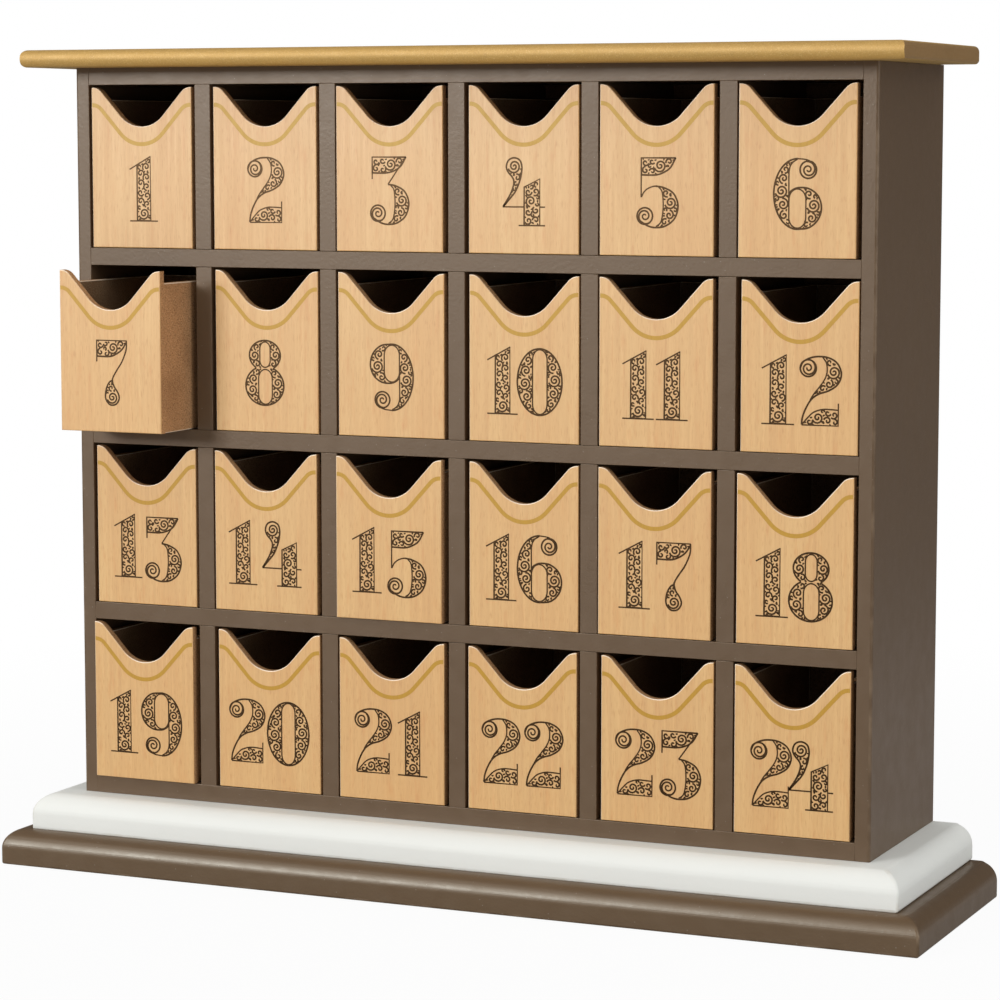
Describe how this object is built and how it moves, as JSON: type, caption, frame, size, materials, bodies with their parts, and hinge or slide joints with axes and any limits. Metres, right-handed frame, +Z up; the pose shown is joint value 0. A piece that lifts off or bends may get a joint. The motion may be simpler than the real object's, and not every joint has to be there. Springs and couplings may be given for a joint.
{
  "type": "advent calendar cabinet",
  "caption": "Wooden advent calendar cabinet: small numbered drawers with wave-cut fronts slide out to hold gifts, on a stepped plinth under a rounded gold top board.",
  "frame": {"origin": "middle of the flat underside of the lower plinth", "axes": "+X to the right as seen from the drawers' side, +Y from the drawer fronts to the back, +Z up"},
  "size_m": [0.338, 0.0936, 0.2869],
  "materials": {
    "beech": "satin",
    "raw_board": "matte",
    "taupe_paint": "painted matte",
    "umber_paint": "painted satin",
    "white_paint": "painted satin",
    "gold_paint": "painted metallic",
    "steel": "plated"
  },
  "bodies": {
    "cabinet": {"lower_plinth": "umber_paint", "upper_plinth": "white_paint", "cabinet_floor": "taupe_paint", "cabinet_roof": "taupe_paint", "left_side": "taupe_paint", "right_side": "taupe_paint", "back_panel": "raw_board", "shelves": "taupe_paint", "dividers": "taupe_paint", "top_board": "gold_paint", "plinth_screws": "steel", "back_pins": "steel"},
    "drawer_01": {"drawer_front_01": "beech", "drawer_tray_01": "raw_board"},
    "drawer_02": {"drawer_front_02": "beech", "drawer_tray_02": "raw_board"},
    "drawer_03": {"drawer_front_03": "beech", "drawer_tray_03": "raw_board"},
    "drawer_04": {"drawer_front_04": "beech", "drawer_tray_04": "raw_board"},
    "drawer_05": {"drawer_front_05": "beech", "drawer_tray_05": "raw_board"},
    "drawer_06": {"drawer_front_06": "beech", "drawer_tray_06": "raw_board"},
    "drawer_07": {"drawer_front_07": "beech", "drawer_tray_07": "raw_board"},
    "drawer_08": {"drawer_front_08": "beech", "drawer_tray_08": "raw_board"},
    "drawer_09": {"drawer_front_09": "beech", "drawer_tray_09": "raw_board"},
    "drawer_10": {"drawer_front_10": "beech", "drawer_tray_10": "raw_board"},
    "drawer_11": {"drawer_front_11": "beech", "drawer_tray_11": "raw_board"},
    "drawer_12": {"drawer_front_12": "beech", "drawer_tray_12": "raw_board"},
    "drawer_13": {"drawer_front_13": "beech", "drawer_tray_13": "raw_board"},
    "drawer_14": {"drawer_front_14": "beech", "drawer_tray_14": "raw_board"},
    "drawer_15": {"drawer_front_15": "beech", "drawer_tray_15": "raw_board"},
    "drawer_16": {"drawer_front_16": "beech", "drawer_tray_16": "raw_board"},
    "drawer_17": {"drawer_front_17": "beech", "drawer_tray_17": "raw_board"},
    "drawer_18": {"drawer_front_18": "beech", "drawer_tray_18": "raw_board"},
    "drawer_19": {"drawer_front_19": "beech", "drawer_tray_19": "raw_board"},
    "drawer_20": {"drawer_front_20": "beech", "drawer_tray_20": "raw_board"},
    "drawer_21": {"drawer_front_21": "beech", "drawer_tray_21": "raw_board"},
    "drawer_22": {"drawer_front_22": "beech", "drawer_tray_22": "raw_board"},
    "drawer_23": {"drawer_front_23": "beech", "drawer_tray_23": "raw_board"},
    "drawer_24": {"drawer_front_24": "beech", "drawer_tray_24": "raw_board"}
  },
  "joints": [
    {"name": "drawer_01_slide", "type": "slide", "parent": "cabinet", "child": "drawer_01", "axis": [0, -1, 0], "range_m": [0, 0.068]},
    {"name": "drawer_02_slide", "type": "slide", "parent": "cabinet", "child": "drawer_02", "axis": [0, -1, 0], "range_m": [0, 0.068]},
    {"name": "drawer_03_slide", "type": "slide", "parent": "cabinet", "child": "drawer_03", "axis": [0, -1, 0], "range_m": [0, 0.068]},
    {"name": "drawer_04_slide", "type": "slide", "parent": "cabinet", "child": "drawer_04", "axis": [0, -1, 0], "range_m": [0, 0.068]},
    {"name": "drawer_05_slide", "type": "slide", "parent": "cabinet", "child": "drawer_05", "axis": [0, -1, 0], "range_m": [0, 0.068]},
    {"name": "drawer_06_slide", "type": "slide", "parent": "cabinet", "child": "drawer_06", "axis": [0, -1, 0], "range_m": [0, 0.068]},
    {"name": "drawer_07_slide", "type": "slide", "parent": "cabinet", "child": "drawer_07", "axis": [0, -1, 0], "range_m": [-0.0216, 0.0464]},
    {"name": "drawer_08_slide", "type": "slide", "parent": "cabinet", "child": "drawer_08", "axis": [0, -1, 0], "range_m": [0, 0.068]},
    {"name": "drawer_09_slide", "type": "slide", "parent": "cabinet", "child": "drawer_09", "axis": [0, -1, 0], "range_m": [0, 0.068]},
    {"name": "drawer_10_slide", "type": "slide", "parent": "cabinet", "child": "drawer_10", "axis": [0, -1, 0], "range_m": [0, 0.068]},
    {"name": "drawer_11_slide", "type": "slide", "parent": "cabinet", "child": "drawer_11", "axis": [0, -1, 0], "range_m": [0, 0.068]},
    {"name": "drawer_12_slide", "type": "slide", "parent": "cabinet", "child": "drawer_12", "axis": [0, -1, 0], "range_m": [0, 0.068]},
    {"name": "drawer_13_slide", "type": "slide", "parent": "cabinet", "child": "drawer_13", "axis": [0, -1, 0], "range_m": [0, 0.068]},
    {"name": "drawer_14_slide", "type": "slide", "parent": "cabinet", "child": "drawer_14", "axis": [0, -1, 0], "range_m": [0, 0.068]},
    {"name": "drawer_15_slide", "type": "slide", "parent": "cabinet", "child": "drawer_15", "axis": [0, -1, 0], "range_m": [-0.0012, 0.0668]},
    {"name": "drawer_16_slide", "type": "slide", "parent": "cabinet", "child": "drawer_16", "axis": [0, -1, 0], "range_m": [0, 0.068]},
    {"name": "drawer_17_slide", "type": "slide", "parent": "cabinet", "child": "drawer_17", "axis": [0, -1, 0], "range_m": [0, 0.068]},
    {"name": "drawer_18_slide", "type": "slide", "parent": "cabinet", "child": "drawer_18", "axis": [0, -1, 0], "range_m": [0, 0.068]},
    {"name": "drawer_19_slide", "type": "slide", "parent": "cabinet", "child": "drawer_19", "axis": [0, -1, 0], "range_m": [-0.0012, 0.0668]},
    {"name": "drawer_20_slide", "type": "slide", "parent": "cabinet", "child": "drawer_20", "axis": [0, -1, 0], "range_m": [0, 0.068]},
    {"name": "drawer_21_slide", "type": "slide", "parent": "cabinet", "child": "drawer_21", "axis": [0, -1, 0], "range_m": [0, 0.068]},
    {"name": "drawer_22_slide", "type": "slide", "parent": "cabinet", "child": "drawer_22", "axis": [0, -1, 0], "range_m": [0, 0.068]},
    {"name": "drawer_23_slide", "type": "slide", "parent": "cabinet", "child": "drawer_23", "axis": [0, -1, 0], "range_m": [0, 0.068]},
    {"name": "drawer_24_slide", "type": "slide", "parent": "cabinet", "child": "drawer_24", "axis": [0, -1, 0], "range_m": [0, 0.068]}
  ]
}
